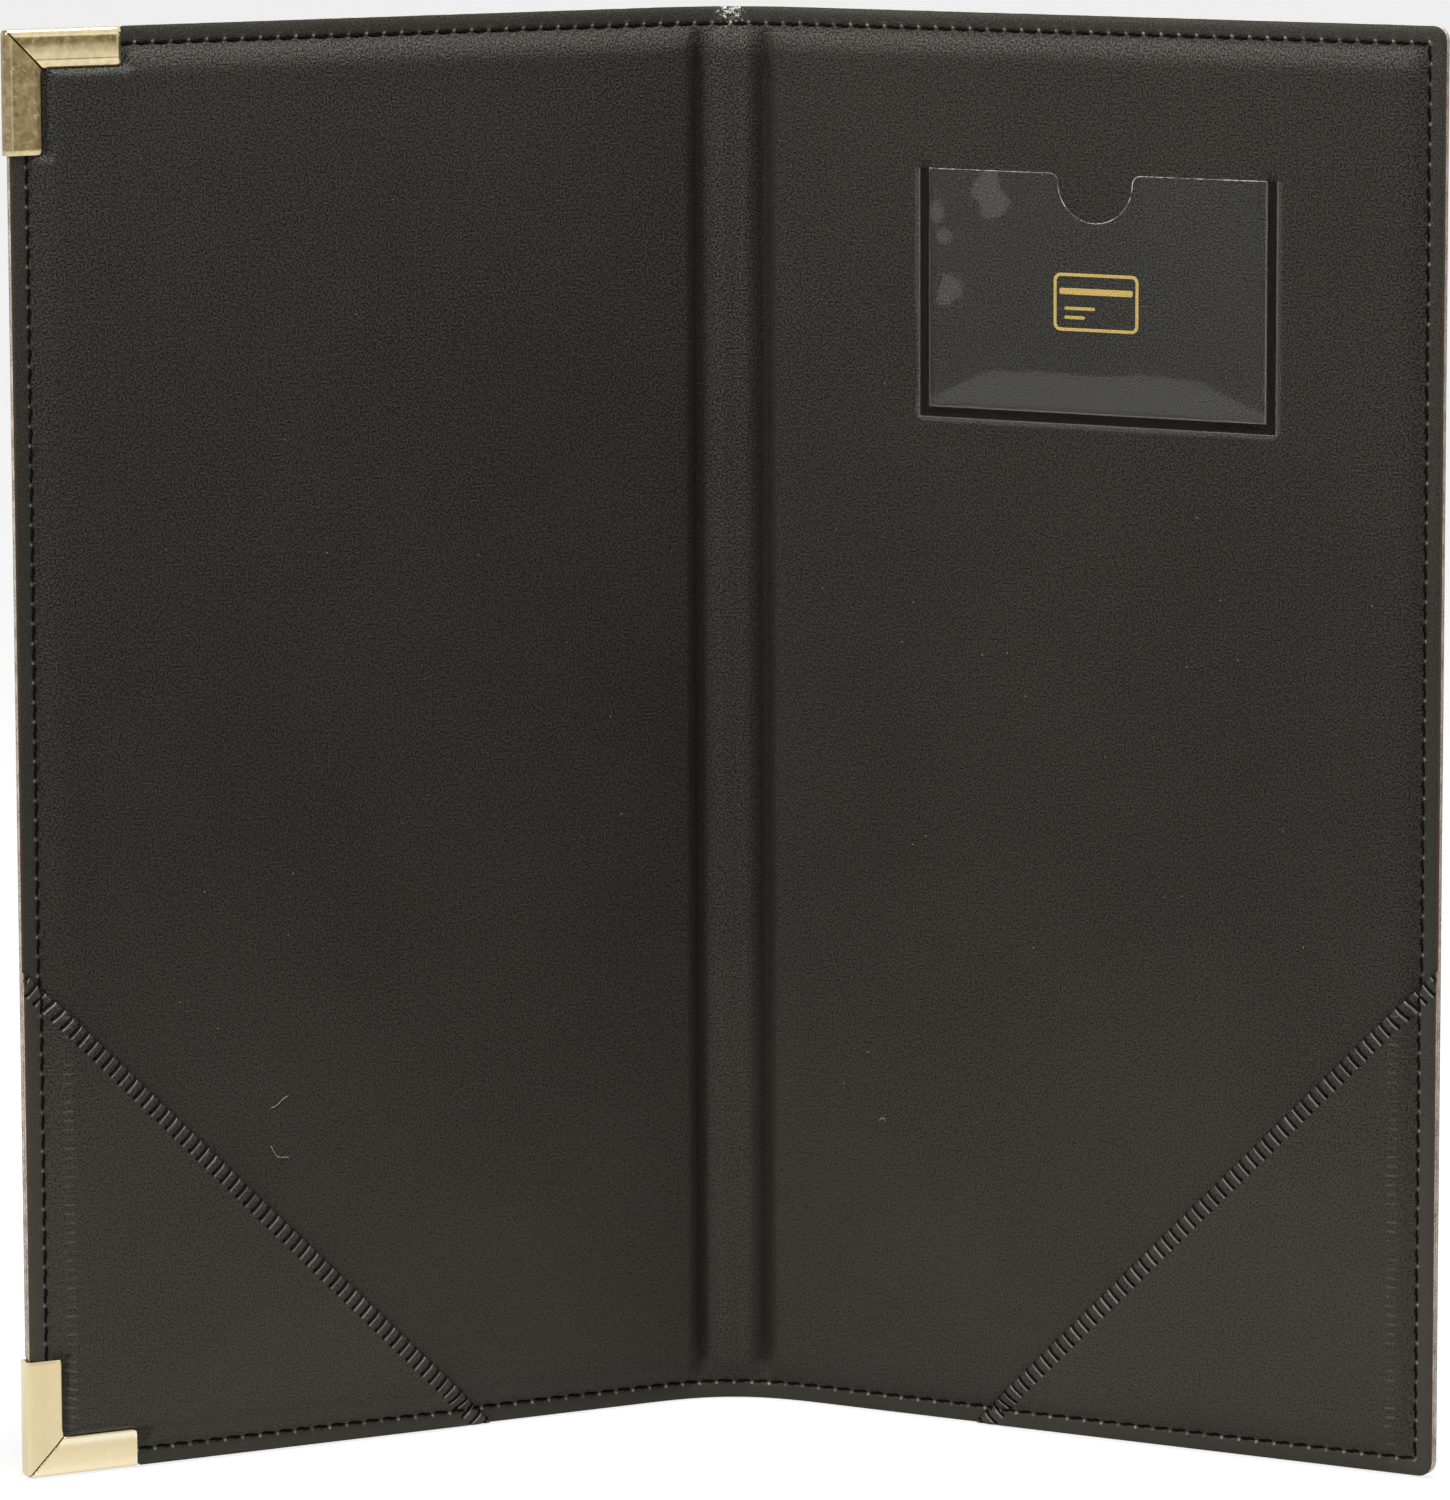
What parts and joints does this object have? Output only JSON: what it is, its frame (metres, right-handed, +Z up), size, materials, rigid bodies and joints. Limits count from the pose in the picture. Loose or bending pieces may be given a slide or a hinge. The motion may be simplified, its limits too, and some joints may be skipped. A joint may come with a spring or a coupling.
{
  "type": "guest check presenter",
  "caption": "Book-style guest check presenter: padded leatherette covers on a flexible spine, corner pockets, clear card window and metal corners.",
  "frame": {"origin": "centre of the presenter's box on the surface that it stands on, at rest", "axes": "+Z up along the spine, +Y to the spine and away from the open side, +X to the back cover"},
  "size_m": [0.248, 0.0667, 0.254],
  "materials": {
    "leatherette": "satin",
    "board": "matte",
    "foam": "matte",
    "thread": "matte",
    "brass": "satin",
    "clear_film": "gloss"
  },
  "bodies": {
    "spine": {"spine_outer_skin": "leatherette", "spine_strip": "board", "spine_lining": "leatherette", "spine_seam_stitches": "thread", "front_outer_hinge_web": "leatherette", "front_inner_hinge_web": "leatherette", "back_outer_hinge_web": "leatherette", "back_inner_hinge_web": "leatherette"},
    "front_cover": {"front_outer_skin": "leatherette", "front_board": "board", "front_foam_pad": "foam", "front_lining": "leatherette", "front_corner_pocket": "leatherette", "front_pocket_stitches": "thread", "front_seam_stitches": "thread", "top_brass_corner": "brass", "bottom_brass_corner": "brass"},
    "back_cover": {"back_outer_skin": "leatherette", "back_board": "board", "back_foam_pad": "foam", "back_lining": "leatherette", "back_corner_pocket": "leatherette", "back_pocket_stitches": "thread", "back_seam_stitches": "thread", "card_window": "clear_film"}
  },
  "joints": [
    {"name": "front_cover_hinge", "type": "hinge", "parent": "spine", "child": "front_cover", "pos_m": [-0.00665, 0.03231, 0], "axis": [0, 0, 1], "range_deg": [-28.5, 61.5], "deforming": ["front_outer_hinge_web", "front_inner_hinge_web"]},
    {"name": "back_cover_hinge", "type": "hinge", "parent": "spine", "child": "back_cover", "pos_m": [0.00665, 0.03231, 0], "axis": [0, 0, -1], "range_deg": [-28.5, 61.5], "deforming": ["back_outer_hinge_web", "back_inner_hinge_web"]}
  ]
}
